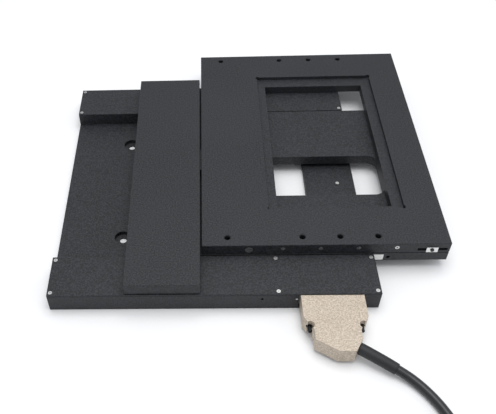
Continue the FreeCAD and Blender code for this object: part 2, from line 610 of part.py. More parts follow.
def top_plate():
    body = edged("top_edged", box("top_blank", (TOP_X0, CAR_X1), (TOP_Y0, TOP_Y1), ("plate_bot", "top_z")))
    open_x = (f"{TOP_X0} + open_left", f"{TOP_X0} + open_left + open_w")
    open_y = (f"{TOP_Y0} + open_front", f"{TOP_Y0} + open_front + open_d")
    rim_x = (f"{open_x[0]} - rim_left", f"{open_x[1]} + rim_right")
    rim_y = (f"{open_y[0]} - rim_front", f"{open_y[1]} + rim_back")
    ledge = "top_z - ledge_deep"
    tools = [
        box("sample_opening", open_x, open_y, ("plate_bot - 1", "top_z + 1")),
        box("insert_recess", rim_x, rim_y, (ledge, "top_z + 1")),
    ]
    for number, (x, y) in enumerate([(x, y) for x in rim_x for y in rim_y]):
        inward_x = "+" if x == rim_x[0] else "-"
        inward_y = "+" if y == rim_y[0] else "-"
        tools.append(rod(f"recess_relief_{number}", "z", "relief_r", (ledge, "top_z + 1"),
                         (f"{x} {inward_x} relief_r / 2", f"{y} {inward_y} relief_r / 2")))
    for number, spot in enumerate(tap_places()):
        tools.append(rod(f"tap_{number}", "z", "tap_r", ("plate_bot - 1", "top_z + 1"), spot))
        tools.append(cone(f"tap_sink_{number}", "z", ("tap_r", "tap_r + tap_sink"),
                          ("top_z - tap_sink", "top_z"), spot))
    way_room = "(y_rail_half + y_travel / 2 + 1.5)"
    for side in ("left", "right"):
        mid_x, outward = y_way_x(side)
        wide = ("side_gap / 2 + rail_t + 1", "side_gap / 2 + rail_t")
        low, high = wide if outward > 0 else wide[::-1]
        tools.append(box(f"way_pocket_{side}", (f"{mid_x} - ({low})", f"{mid_x} + ({high})"),
                         (f"y_off - {way_room}", f"y_off + {way_room}"),
                         ("plate_bot - 1", "plate_bot + pocket_deep")))
    for number, x in enumerate(set_screw_places()):
        tools.append(rod(f"set_hole_{number}", "y", "set_screw_r + fit",
                         (f"{TOP_Y0} - 1", f"{TOP_Y0} + set_screw_long + 1"), (x, SET_SCREW_Z)))
    tools.append(rod("plug_hole", "y", "plug_r + fit", (f"{TOP_Y0} - 1", f"{TOP_Y0} + 5"), PLUG_SPOT))
    tools.append(box("flag_slot", (f"{FLAG_X} - 12.2", f"{FLAG_X} + 13.3"),
                     (f"{TOP_Y0} - 1", f"{TOP_Y0} + 4"), (f"{FLAG_Z} - 1.6", f"{FLAG_Z} + 1.6")))
    tools.append(rod("flag_screw_hole", "y", "flag_screw_r + fit", (f"{TOP_Y0} - 1", f"{TOP_Y0} + 5.3"),
                     (FLAG_X, FLAG_Z)))
    node("top_plate", cut("top_plate", body, tools))


def front_face_pieces():
    screws = []
    for number, x in enumerate(set_screw_places()):
        body = rod(f"set_screw_body_{number}", "y", "set_screw_r",
                   (f"{TOP_Y0} + 0.1", f"{TOP_Y0} + set_screw_long"), (x, SET_SCREW_Z))
        socket = rod(f"set_screw_socket_{number}", "y", "0.8", (f"{TOP_Y0} - 1", f"{TOP_Y0} + 1.5"),
                     (x, SET_SCREW_Z))
        screws.append(cut(f"set_screw_{number}", body, [socket]))
    node("front_set_screws", group("front_set_screws", screws))
    node("front_plug", rod("front_plug", "y", "plug_r", (f"{TOP_Y0} + 0.15", f"{TOP_Y0} + 4.6"), PLUG_SPOT))
    spot = (FLAG_X, FLAG_Z)
    plate = box("flag_plate_blank", (f"{FLAG_X} - flag_half", f"{FLAG_X} + flag_half"),
                (f"{TOP_Y0} - flag_t", TOP_Y0), (f"{FLAG_Z} - 2.9", f"{FLAG_Z} + 3.1"))
    hole = rod("flag_plate_hole", "y", "flag_screw_r + fit", (f"{TOP_Y0} - 2", f"{TOP_Y0} + 1"), spot)
    node("flag_plate", cut("flag_plate", plate, [hole]))
    head = rod("flag_screw_head", "y", "1.6", (f"{TOP_Y0} - flag_t - 0.8", f"{TOP_Y0} - flag_t"), spot)
    shank = rod("flag_screw_shank", "y", "flag_screw_r", (f"{TOP_Y0} - flag_t", f"{TOP_Y0} + 5"), spot)
    node("flag_screw", fuse("flag_screw", [head, shank]))


# ---------------------------------------------------------------- drives
def drive(name, along, start, heading, centre, nut_place, screw_end):
    """A motor, its encoder and mount, an Oldham coupling, the screw, its bearings and blocks.

    Places run from start (the motor's far end) in the heading's direction, along the axis.
    """
    def at(distance):
        return f"({start} + ({heading}) * ({distance}))"

    def run(near, far):
        return (at(near), at(far)) if heading > 0 else (at(far), at(near))

    def block(name, near, far):
        across = (f"{centre[0]} - block_half_w", f"{centre[0]} + block_half_w")
        tall = (f"{centre[1]} - block_half", f"{centre[1]} + block_half")
        if along == "x":
            return box(name, run(near, far), across, tall)
        return box(name, across, run(near, far), tall)

    encoder_end = "encoder_long"
    motor_end = "(encoder_long + motor_long)"
    plate_end = "(encoder_long + motor_long + motor_mount_t)"
    hub_a = f"({plate_end} + 0.5)"
    hub_b = f"({hub_a} + hub_long + disc_long)"
    block_near = f"({hub_b} + hub_long + 0.5)"
    block_far = f"({block_near} + block_t)"
    node(f"{name}_encoder", rod(f"{name}_encoder", along, "motor_r - 0.6", run("0", encoder_end), centre))
    motor = rod(f"{name}_motor_can", along, "motor_r", run(encoder_end, motor_end), centre)
    bore = rod(f"{name}_motor_bore", along, "1 + fit", run(f"{motor_end} - 5", f"{motor_end} + 1"), centre)
    node(f"{name}_motor", cut(f"{name}_motor", motor, [bore]))
    mount = block(f"{name}_mount_plate", motor_end, plate_end)
    mount_hole = rod(f"{name}_mount_hole", along, "3", run(f"{motor_end} - 1", f"{plate_end} + 1"), centre)
    node(f"{name}_motor_mount", cut(f"{name}_motor_mount", mount, [mount_hole]))

    # coupling: two hubs whose tongues cross at right angles in the disc's slots
    def tongue(label, near, far, upright, half_t, half_long):
        thick = (f"{centre[0]} - {half_t}", f"{centre[0]} + {half_t}")
        tall = (f"{centre[1]} - {half_long}", f"{centre[1]} + {half_long}")
        if not upright:
            thick = (f"{centre[0]} - {half_long}", f"{centre[0]} + {half_long}")
            tall = (f"{centre[1]} - {half_t}", f"{centre[1]} + {half_t}")
        if along == "x":
            return box(label, run(near, far), thick, tall)
        return box(label, thick, run(near, far), tall)

    disc_near = f"({hub_a} + hub_long)"
    half_t = "(tongue_t / 2)"
    half_slot = "(tongue_t / 2 + fit)"
    half_long = "(coupling_r - 1.2)"
    shaft = rod(f"{name}_motor_shaft", along, "1", run(f"{motor_end} - 4", f"{hub_a} + 5"), centre)
    node(f"{name}_motor_shaft", shaft)
    hub = fuse(f"{name}_hub_a_solid", [
        rod(f"{name}_hub_a_body", along, "coupling_r", run(hub_a, disc_near), centre),
        tongue(f"{name}_hub_a_tongue", f"{disc_near} - 1", f"{disc_near} + tongue_deep", True,
               half_t, half_long)])
    motor_hub = cut(f"{name}_motor_hub", hub, [
        rod(f"{name}_hub_a_bore", along, "1", run(f"{hub_a} - 1", f"{hub_a} + 5"), centre)])
    disc = rod(f"{name}_disc_body", along, "coupling_r", run(disc_near, hub_b), centre)
    node(f"{name}_coupling_disc", cut(f"{name}_coupling_disc", disc, [
        tongue(f"{name}_disc_slot_a", f"{disc_near} - 1", f"{disc_near} + tongue_deep + fit", True,
               half_slot, "coupling_r + 1"),
        tongue(f"{name}_disc_slot_b", f"{hub_b} - tongue_deep - fit", f"{hub_b} + 1", False,
               half_slot, "coupling_r + 1")]))
    hub = fuse(f"{name}_hub_b_solid", [
        rod(f"{name}_hub_b_body", along, "coupling_r", run(hub_b, f"{hub_b} + hub_long"), centre),
        tongue(f"{name}_hub_b_tongue", f"{hub_b} - tongue_deep", f"{hub_b} + 1", False, half_t, half_long)])
    screw_hub = cut(f"{name}_screw_hub", hub, [
        rod(f"{name}_hub_b_bore", along, "screw_r", run(f"{hub_b} + 1.5", f"{hub_b} + hub_long + 1"),
            centre)])
    node(f"{name}_coupling_hubs", group(f"{name}_coupling_hubs", [motor_hub, screw_hub]))

    # screw in two bearings, each in its block
    tip = f"abs(({screw_end}) - ({start}))"
    node(f"{name}_screw", rod(f"{name}_screw", along, "screw_r", run(f"{hub_b} + 1.5", tip), centre))
    end_far = f"({tip} + 0.5)"
    end_near = f"({end_far} - block_t)"
    blocks, bearings = [], []
    for place_name, near, far in (("near", block_near, block_far), ("end", end_near, end_far)):
        body = block(f"{name}_{place_name}_block_body", near, far)
        seat = rod(f"{name}_{place_name}_block_bore", along, "bearing_r",
                   run(f"{near} - 1", f"{far} + 1"), centre)
        blocks.append(cut(f"{name}_{place_name}_block", body, [seat]))
        ring = rod(f"{name}_{place_name}_ring", along, "bearing_r", run(f"{near} + 1", f"{far} - 1"), centre)
        ring_bore = rod(f"{name}_{place_name}_ring_bore", along, "screw_r + fit",
                        run(f"{near} - 1", f"{far} + 1"), centre)
        bearings.append(cut(f"{name}_{place_name}_bearing", ring, [ring_bore]))
    node(f"{name}_bearing_blocks", group(f"{name}_bearing_blocks", blocks))
    node(f"{name}_bearings", group(f"{name}_bearings", bearings))

    nut_span = (f"{nut_place} - nut_half", f"{nut_place} + nut_half")
    nut = rod(f"{name}_nut_body", along, "nut_r", nut_span, centre)
    node(f"{name}_nut", cut(f"{name}_nut", nut, [
        rod(f"{name}_nut_bore", along, "screw_r + fit", (f"{nut_span[0]} - 1", f"{nut_span[1]} + 1"),
            centre)]))
    return nut_span


def x_nut_bracket(nut_span):
    """The block that holds the X nut, with an arm through the strip's wall to the carriage."""
    body = box("x_nut_block", nut_span, ("x_axis_y - block_half_w", "x_axis_y + block_half_w"),
               ("x_axis_z - block_half", "x_axis_z + block_half - 0.1"))
    arm_x = ("x_nut_x - bracket_arm_half", "x_nut_x + bracket_arm_half")
    arm_z = ("floor_t + bracket_play", "floor_t + bracket_play + bracket_arm_t")
    wall = f"-{INNER} - pocket_wall"
    pad_y = f"-{CAR_Y} + bracket_play"
    solid = fuse("x_nut_bracket_solid", [
        body,
        box("x_nut_neck", nut_span, ("x_axis_y + block_half_w - 1", f"{wall} + 1"), arm_z),
        box("x_nut_arm", arm_x, (f"{wall} + 0.5", pad_y), arm_z),
        box("x_nut_pad", arm_x, (pad_y, f"{pad_y} + 16.6"), ("floor_t + bracket_play", "car_bot")),
    ])
    bore = rod("x_nut_seat", "x", "nut_r", (f"{nut_span[0]} - 1", f"{nut_span[1]} + 1"),
               ("x_axis_y", "x_axis_z"))
    node("x_nut_bracket", cut("x_nut_bracket", solid, [bore]))


def y_nut_bracket(nut_span):
    """The block that holds the Y nut, with an arm through the drive cover's side to the top plate."""
    solid = fuse("y_nut_bracket_solid", [
        box("y_nut_block", (f"{Y_AXIS_X} - block_half_w", f"{Y_AXIS_X} + block_half_w"), nut_span,
            ("y_axis_z - block_half", "y_axis_z + block_half")),
        box("y_nut_arm", (f"{Y_AXIS_X} + block_half_w - 1", f"{TOP_X0} - 0.5"),
            ("y_nut_y - 10", "y_nut_y + 10"), (f"{CAR_TOP} + 1.4", f"{CAR_TOP} + 5.6")),
        box("y_nut_flange", (f"{TOP_X0} - 1.2", TOP_X0), ("y_nut_y - 14", "y_nut_y + 14"),
            ("plate_bot + 0.6", "top_z - 2.5")),
    ])
    bore = rod("y_nut_seat", "y", "nut_r", (f"{nut_span[0]} - 1", f"{nut_span[1]} + 1"),
               (Y_AXIS_X, "y_axis_z"))
    node("y_nut_bracket", cut("y_nut_bracket", solid, [bore]))


def limit_switches():
    x_low = "x_nut_x - x_travel - nut_half"
    front = f"(-{HALF_D} + pocket_wall)"
    pair = [box(f"x_limit_{name}", (f"{x} - 4", f"{x} + 4"), (f"{front} + 0.3", f"{front} + 7"),
                ("pocket_floor", "pocket_floor + 6"))
            for name, x in (("low", f"({x_low} + 2)"), ("high", "(x_nut_x - 18)"))]
    node("x_limit_switches", group("x_limit_switches", pair))
    left = f"({CAR_X0} + shell_t)"
    bottom = "(car_bot + carriage_skin)"
    pair = [box(f"y_limit_{name}", (f"{left} + 1", f"{left} + 8"), (f"{y} - 4", f"{y} + 4"),
                (bottom, f"{bottom} + 6"))
            for name, y in (("low", "(y_nut_y - y_travel)"), ("high", "y_nut_y"))]
    node("y_limit_switches", group("y_limit_switches", pair))


def wiring_board():
    node("wiring_board", box("wiring_board", ("-60", "60"),
                             (f"{INNER} + pocket_wall + 2", f"{HALF_D} - pocket_wall - 2"),
                             ("pocket_floor", "pocket_floor + 1.6")))


# ---------------------------------------------------------------- connector
def tilted_block(name, corner, angle, length, depth, z):
    """A block whose lower left corner is at corner, turned about Z by angle."""
    item = doc.addObject("Part::Box", name)
    item.Placement = Placement(Vector(), Rotation(Vector(0, 0, 1), angle))
    item.Length = length
    item.Width = depth
    item.setExpression("Height", bound(f"({z[1]}) - ({z[0]})"))
    place(item, (corner[0], corner[1], z[0]))
    return item


CABLE_TURN = -31     # the cable leaves the hood this many degrees from +X towards -Y
FACE_IN = 2.4        # the cable's outlet, in from the hood's right side
FACE_UP = 7.0        # and forward of the hood's rear
FACE_X = f"(hood_x + hood_neck_half - {FACE_IN})"
FACE_Y = f"(hood_end_y + {FACE_UP})"


def along_cable(distance, rise=0):
    """A place on the boot's axis: distance from the cable face."""
    dx = math.cos(math.radians(CABLE_TURN)) * distance
    dy = math.sin(math.radians(CABLE_TURN)) * distance
    return (f"{FACE_X} + ({dx:.4f})", f"{FACE_Y} + ({dy:.4f})", f"hood_z + ({rise})")


def hood_half(name, z, wall_z):
    wide = box(f"{name}_wide", ("hood_x - hood_half_w", "hood_x + hood_half_w"),
               ("hood_flange_y - hood_shoulder_long", "hood_front_y"), z)
    neck = box(f"{name}_neck", ("hood_x - hood_neck_half", "hood_x + hood_neck_half"),
               ("hood_end_y", "hood_flange_y + 1"), z)
    solid = fuse(f"{name}_solid", [wide, neck])
    foot = FACE_UP * math.tan(math.radians(-CABLE_TURN))
    tall = (f"{z[0]} - 1", f"{z[1]} + 1")
    slant = math.degrees(math.atan2(size("hood_shoulder_long") + size("hood_shoulder_up"),
                                    size("hood_half_w") - size("hood_neck_half")))
    shoulder_y = "hood_flange_y - hood_shoulder_long"
    tools = [
        box(f"{name}_front_room", ("hood_x - hood_half_w + hood_wall", "hood_x + hood_half_w - hood_wall"),
            ("hood_flange_y + jack_seat + hood_wall", "hood_front_y - hood_wall"), wall_z),
        box(f"{name}_body_room",
            ("hood_x - hood_neck_half + hood_wall", "hood_x + hood_neck_half - hood_wall"),
            ("hood_end_y + 13", "hood_flange_y + jack_seat + hood_wall + 1"), wall_z),
        box(f"{name}_mouth", ("hood_x - 19.6", "hood_x + 19.6"), ("hood_front_y - 3", "hood_front_y + 1"),
            ("hood_z - 4.4", "hood_z + 4.4")),
        # the slanted left rear corner, the slanted cable face and the two shoulders
        tilted_block(f"{name}_left_slant", ("hood_x - 0.9", "hood_end_y"), 180 - 31.5, 40, 20, tall),
        tilted_block(f"{name}_cable_face", (f"{FACE_X} - {foot:.4f}", "hood_end_y"), CABLE_TURN,
                     20, 30, tall),
        tilted_block(f"{name}_left_shoulder", ("hood_x - hood_neck_half", shoulder_y), 180 - slant,
                     40, 20, tall),
        tilted_block(f"{name}_right_shoulder", ("hood_x + hood_neck_half", shoulder_y), slant - 90,
                     20, 40, tall),
    ]
    shaped = cut(f"{name}_shaped", solid, tools)
    bores, notches = [], []
    for side, sign in (("left", -1), ("right", 1)):
        across = f"hood_x + ({sign}) * jack_dx"
        bores.append(rod(f"{name}_jack_{side}", "y", "jack_r + jack_play",
                         (f"{shoulder_y} - 1", "hood_front_y + 1"), (across, "hood_z")))
        bores.append(rod(f"{name}_seat_{side}", "y", "jack_head_r + jack_play",
                         ("hood_flange_y - hood_notch_in / 2", "hood_flange_y + jack_seat"), (across, "hood_z")))
        notches.append(rod(f"{name}_notch_{side}", "z", "hood_notch_r", tall,
                           (across, "hood_flange_y - hood_notch_in")))
    outlet = doc.addObject("Part::Cylinder", f"{name}_outlet")
    outlet.Placement = Placement(Vector(), Rotation(Vector(0, 0, 1), Vector(*cable_heading())))
    outlet.setExpression("Radius", bound("cable_d / 2 + fit"))
    outlet.Height = 14
    place(outlet, along_cable(-12))
    notched = cut(f"{name}_notched", shaped, notches)
    node(name, cut(name, notched, bores + [outlet]))


def cable_heading():
    return (math.cos(math.radians(CABLE_TURN)), math.sin(math.radians(CABLE_TURN)), 0)


def connector():
    low, high = "hood_z - hood_half_t", "hood_z + hood_half_t"
    hood_half("hood_lower", (low, "hood_z"), (f"{low} + hood_wall", "hood_z + 1"))
    hood_half("hood_upper", ("hood_z", high), ("hood_z - 1", f"{high} - hood_wall"))
    # plug insert: flange in the hood, shell reaching into the socket
    flange = box("plug_flange", ("hood_x - 23.7", "hood_x + 23.7"),
                 ("hood_front_y - 4.2", "hood_front_y - 3.1"), ("hood_z - 5.5", "hood_z + 5.5"))
    shell = box("plug_shell", ("hood_x - shell_half", "hood_x + shell_half"),
                ("hood_front_y - 12", "hood_front_y + 7"), ("hood_z - shell_half_t", "hood_z + shell_half_t"))
    holes = [rod(f"plug_hole_{sign}", "y", "jack_r + jack_play", ("hood_front_y - 6", "hood_front_y"),
                 (f"hood_x + ({sign}) * jack_dx", "hood_z")) for sign in (-1, 1)]
    node("plug_insert", cut("plug_insert", fuse("plug_insert_solid", [flange, shell]), holes))
    # socket in the base
    face = f"(-{HALF_D} + 1)"
    flange = box("socket_flange", ("hood_x - 26.5", "hood_x + 26.5"), (face, f"{face} + 1.2"),
                 ("hood_z - 6.2", "hood_z + 6.2"))
    body = box("socket_body", ("hood_x - 20.5", "hood_x + 20.5"), (f"{face} + 1", f"{face} + 11.5"),
               ("hood_z - 5.4", "hood_z + 5.4"))
    wide, thick = "(shell_half + shell_play)", "(shell_half_t + shell_play)"
    room = box("socket_room", (f"hood_x - {wide}", f"hood_x + {wide}"), (f"{face} - 1", f"{face} + 6.5"),
               (f"hood_z - {thick}", f"hood_z + {thick}"))
    taps = []
    for sign in (-1, 1):
        spot = (f"hood_x + ({sign}) * jack_dx", "hood_z")
        taps.append(rod(f"socket_tap_{sign}", "y", "jack_r + fit", (f"{face} - 1", f"{face} + 2"), spot))
        taps.append(rod(f"socket_notch_{sign}", "y", "jack_post_r + fit",
                        (f"{face} + 1.2", f"{face} + 13"), spot))
    node("connector_socket", cut("connector_socket", fuse("socket_solid", [flange, body]), [room] + taps))
    posts = []
    for side, sign in (("left", -1), ("right", 1)):
        spot = (f"hood_x + ({sign}) * jack_dx", "hood_z")
        nut = rod(f"jack_post_{side}_solid", "y", "jack_post_r", (f"{face} + 1.2", f"{face} + 6"), spot)
        bore = rod(f"jack_post_{side}_bore", "y", "jack_r + fit", (f"{face}", f"{face} + 7"), spot)
        posts.append(cut(f"jack_post_{side}", nut, [bore]))
        back = "hood_flange_y + jack_seat"
        front = f"{back} - jack_head_t"
        tail_end = f"{front} - jack_tail_long"
        shaft = rod(f"jackscrew_{side}_shaft", "y", "jack_r", (f"{front} + 1", f"{face} + 4.5"), spot)
        head = rod(f"jackscrew_{side}_head", "y", "jack_head_r", (front, back), spot)
        tail = rod(f"jackscrew_{side}_tail", "y", "jack_tail_r", (tail_end, f"{front} + 1"), spot)
        driver = box(f"jackscrew_{side}_slit", (f"{spot[0]} - 0.4", f"{spot[0]} + 0.4"),
                     (f"{tail_end} - 1", f"{tail_end} + 1.2"), ("hood_z - 3", "hood_z + 3"))
        solid = fuse(f"jackscrew_{side}_solid", [shaft, head, tail])
        node(f"jackscrew_{side}", cut(f"jackscrew_{side}", solid, [driver]))
    node("jack_posts", group("jack_posts", posts))


# ---------------------------------------------------------------- cable
BOOT_LONG = 32
BOOT_DROP = 4.3      # the boot sags this much from the hood to its end


def boot_end():
    reach = math.sqrt(BOOT_LONG ** 2 - BOOT_DROP ** 2)
    face = Vector(value(FACE_X), value(FACE_Y), size("hood_z"))
    flat = Vector(*cable_heading())
    return face, face + flat * reach - Vector(0, 0, BOOT_DROP)


def cable_boot():
    start, end = boot_end()
    boot = doc.addObject("Part::Cone", "boot_sleeve")
    boot.setExpression("Radius1", bound("boot_r + 0.15"))
    boot.setExpression("Radius2", bound("boot_r - 0.15"))
    boot.Height = BOOT_LONG
    boot.Placement = Placement(start + (end - start).normalize(), Rotation(Vector(0, 0, 1), end - start))
    node("cable_boot", boot)


def tube(name, points, diameter):
    """A tube along straight runs joined by tangent arcs, each as large as its runs allow."""
    edges, here, bends = [], points[0], []
    for before, corner, after in zip(points, points[1:], points[2:]):
        back = (before - corner).normalize()
        ahead = (after - corner).normalize()
        turn = math.pi - back.getAngle(ahead)
        trim = 0.45 * min((before - corner).Length, (after - corner).Length)
        bends.append(trim / math.tan(turn / 2))
        middle = (back + ahead).normalize()
        entry = corner + back * trim
        leave = corner + ahead * trim
        centre_far = trim / math.cos(back.getAngle(middle))
        centre = corner + middle * centre_far
        top = centre + (corner - centre).normalize() * bends[-1]
        edges.append(Part.LineSegment(here, entry).toShape())
        edges.append(Part.Arc(entry, top, leave).toShape())
        here = leave
    edges.append(Part.LineSegment(here, points[-1]).toShape())
    path = Part.Wire(edges)
    heading = points[1] - points[0]
    section = Part.Wire(Part.Circle(points[0], heading, diameter / 2).toShape())
    item = doc.addObject("Part::Feature", name)
    item.Shape = path.makePipeShell([section], True, False)
    expected = path.Length * math.pi * diameter ** 2 / 4
    print(f"{name}: length {path.Length:.1f}, radii {[round(bend) for bend in bends]},"
          f" volume ratio {item.Shape.Volume / expected:.4f}")
    node(name, item)
    return path.Length


def cable():
    diameter = size("cable_d")
    lie = diameter / 2 + 0.05
    start, end = boot_end()
    first = end - (end - start).normalize()
    route = [
        first,
        Vector(153.4, -210.2, 4.7),
        Vector(163.8, -222.2, lie),
        Vector(171.9, -236.2, lie),
        Vector(178.8, -253.0, lie),
        Vector(183.6, -271.5, lie),
        Vector(185.4, -290.5, lie),
    ]
    tube("stage_cable", route, diameter)
    outer = rod("coil_outer", "z", "coil_r + 1.5 * cable_d", ("0.05", "2 * cable_d"), ("coil_x", "coil_y"))
    inner = rod("coil_inner", "z", "coil_r - 1.5 * cable_d", ("-1", "2 * cable_d + 1"), ("coil_x", "coil_y"))
    node("cable_coil", cut("cable_coil", outer, [inner]))
    high = 1.5 * diameter
    tail = [
        Vector(116.0, -362.6, high),
        Vector(104.5, -362.4, 10.8),
        Vector(92.5, -362.0, 9.2),
        Vector(81.0, -362.0, 7.9),
    ]
    tube("cable_tail", tail, diameter)


def controller_plug():
    """The plug at the cable's far end, which goes to the motor controller: the stage's plug again."""
    face = "(coil_x - 50)"
    mid_y = "(coil_y - 53)"
    low, high = "0.2", "(0.2 + 2 * hood_half_t)"
    mid_z = "(0.2 + hood_half_t)"

    def wide(half):
        return (f"{mid_y} - ({half})", f"{mid_y} + ({half})")

    solid = fuse("far_hood_solid", [
        box("far_hood_wide", (f"{face} - 48", f"{face} - 24"), wide("hood_half_w"), (low, high)),
        box("far_hood_neck", (f"{face} - 25", face), wide("hood_neck_half"), (low, high))])
    room = box("far_hood_room", (f"{face} - 45", f"{face} - 4"), wide("hood_neck_half - hood_wall"),
               (f"{low} + hood_wall", f"{high} - hood_wall"))
    mouth = box("far_hood_mouth", (f"{face} - 49", f"{face} - 44"), wide("shell_half + 1"),
                (f"{mid_z} - shell_half_t - 0.4", f"{mid_z} + shell_half_t + 0.4"))
    tools, screws = [room, mouth], []
    for sign in (-1, 1):
        spot = (f"{mid_y} + ({sign}) * jack_dx", mid_z)
        tools.append(rod(f"far_hood_jack_{sign}", "x", "jack_r + jack_play",
                         (f"{face} - 49", f"{face} - 23"), spot))
        shaft = rod(f"far_jack_shaft_{sign}", "x", "jack_r", (f"{face} - 53", f"{face} - 18"), spot)
        head = rod(f"far_jack_head_{sign}", "x", "jack_head_r - 0.2", (f"{face} - 23.4", f"{face} - 17"), spot)
        screws.append(fuse(f"far_jackscrew_{sign}", [shaft, head]))
    node("controller_plug_hood", cut("controller_plug_hood", solid, tools))
    node("controller_plug_insert", box("controller_plug_insert", (f"{face} - 54", f"{face} - 45.1"),
                                       wide("shell_half"), (f"{mid_z} - shell_half_t", f"{mid_z} + shell_half_t")))
    node("controller_plug_screws", group("controller_plug_screws", screws))


# ---------------------------------------------------------------- the whole stage
base_plate()
for side_name, side_sign in SIDES:
    strip_cover(side_name, side_sign)
cover_screws()
small_base_screws()
carriage_plate()
drive_cover()
top_plate()
front_face_pieces()
x_rails()
y_rails()
cages()
x_nut_bracket(drive("x", "x", "x_motor_end", 1, ("x_axis_y", "x_axis_z"),
                    "x_nut_x", "x_nut_x + 17"))
y_nut_bracket(drive("y", "y", "y_motor_end", -1, (Y_AXIS_X, "y_axis_z"),
                    "y_nut_y", "y_nut_y - y_travel - 17"))
limit_switches()
wiring_board()
connector()
cable_boot()
cable()
controller_plug()

doc.recompute()
faults = [item.Name for item in doc.Objects if {"Invalid", "Error"} & set(item.State)]
faults += [item.Label for item in NODES if item.Shape.isNull() or not item.Shape.isValid()]
if faults:
    raise RuntimeError(f"failed: {faults}")
os.makedirs("parts", exist_ok=True)
for item in NODES:
    item.Shape.exportStep(f"parts/{item.Label}.step")
print(len(NODES), "nodes written")
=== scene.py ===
import json
import math

import bmesh
import bpy
from mathutils import Matrix, Vector


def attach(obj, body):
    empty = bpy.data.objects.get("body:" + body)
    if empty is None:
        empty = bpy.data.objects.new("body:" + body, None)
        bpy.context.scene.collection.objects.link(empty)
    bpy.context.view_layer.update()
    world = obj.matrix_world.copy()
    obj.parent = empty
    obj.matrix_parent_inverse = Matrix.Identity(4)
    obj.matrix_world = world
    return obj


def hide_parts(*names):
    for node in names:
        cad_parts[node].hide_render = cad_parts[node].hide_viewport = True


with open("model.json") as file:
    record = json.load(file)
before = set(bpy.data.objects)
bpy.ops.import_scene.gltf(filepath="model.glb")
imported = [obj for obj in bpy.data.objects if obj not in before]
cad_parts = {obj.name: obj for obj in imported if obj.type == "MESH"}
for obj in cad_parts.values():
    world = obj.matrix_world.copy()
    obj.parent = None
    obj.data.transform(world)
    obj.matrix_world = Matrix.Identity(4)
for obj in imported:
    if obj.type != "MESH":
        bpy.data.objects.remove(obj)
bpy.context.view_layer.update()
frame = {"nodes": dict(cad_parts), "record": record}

# A low-profile motorised XY scanning stage, seen from above its front edge.
# Everything is in metres in the part's own frame: +X to the right, +Y to the back, +Z up.

MM = 0.001
NODES = frame["nodes"]
COLLECTION = bpy.context.scene.collection


def mm(*values):
    """A point given in millimetres, as a vector in metres."""
    return Vector(values) * MM


# ---------------------------------------------------------------- materials
class Shader:
    """A material's node tree with short names for the nodes that the finishes use."""

    def __init__(self, name):
        self.material = bpy.data.materials.new(name)
        self.material.use_nodes = True
        self.tree = self.material.node_tree
        self.main = self.tree.nodes["Principled BSDF"]
        self.where = self.add("ShaderNodeTexCoord").outputs["Object"]

    def add(self, kind, **settings):
        made = self.tree.nodes.new(kind)
        for key, value in settings.items():
            setattr(made, key, value)
        return made

    def link(self, source, target):
        self.tree.links.new(source, target)

    def noise(self, scale, detail=2.0, stretch=None):
        made = self.add("ShaderNodeTexNoise")
        made.inputs["Scale"].default_value = scale
        made.inputs["Detail"].default_value = detail
        place = self.where
        if stretch:
            mapping = self.add("ShaderNodeMapping")
            mapping.inputs["Scale"].default_value = stretch
            self.link(place, mapping.inputs["Vector"])
            place = mapping.outputs["Vector"]
        self.link(place, made.inputs["Vector"])
        return made.outputs["Fac"]

    def ramp(self, value, stops):
        """stops: (position, grey or colour) pairs."""
        made = self.add("ShaderNodeValToRGB")
        ramp = made.color_ramp
        while len(ramp.elements) < len(stops):
            ramp.elements.new(0.5)
        for element, (position, colour) in zip(ramp.elements, stops):
            element.position = position
            if isinstance(colour, (int, float)):
                colour = (colour, colour, colour)
            element.color = (*colour, 1.0)
        self.link(value, made.inputs["Fac"])
        return made.outputs["Color"]

    def mix(self, factor, first, second):
        made = self.add("ShaderNodeMix", data_type="RGBA")
        for socket, value in (("Factor", factor), ("A", first), ("B", second)):
            found = [entry for entry in made.inputs if entry.name == socket and entry.enabled]
            target = found[0]
            if isinstance(value, bpy.types.NodeSocket):
                self.link(value, target)
            elif socket == "Factor":
                target.default_value = value
            else:
                target.default_value = (*value, 1.0)
        return [entry for entry in made.outputs if entry.name == "Result" and entry.enabled][0]

    def edge_highlight_mask(self, radius):
        """A mask for painted edge highlights: 1 on sharp outer edges and 0 on flat faces."""
        bevel = self.add("ShaderNodeBevel", samples=6)
        bevel.inputs["Radius"].default_value = radius
        geometry = self.add("ShaderNodeNewGeometry")
        dot = self.add("ShaderNodeVectorMath", operation="DOT_PRODUCT")
        self.link(bevel.outputs["Normal"], dot.inputs[0])
        self.link(geometry.outputs["True Normal"], dot.inputs[1])
        return self.ramp(dot.outputs["Value"], ((0.80, 1.0), (0.985, 0.0)))

    def bump(self, height, strength, distance):
        made = self.add("ShaderNodeBump")
        made.inputs["Strength"].default_value = strength
        made.inputs["Distance"].default_value = distance
        self.link(height, made.inputs["Height"])
        self.link(made.outputs["Normal"], self.main.inputs["Normal"])

    def set(self, **values):
        for key, value in values.items():
            socket = self.main.inputs[key.replace("_", " ")]
            if isinstance(value, bpy.types.NodeSocket):
                self.link(value, socket)
            elif isinstance(value, tuple):
                socket.default_value = (*value, 1.0)
            else:
                socket.default_value = value
        return self.material


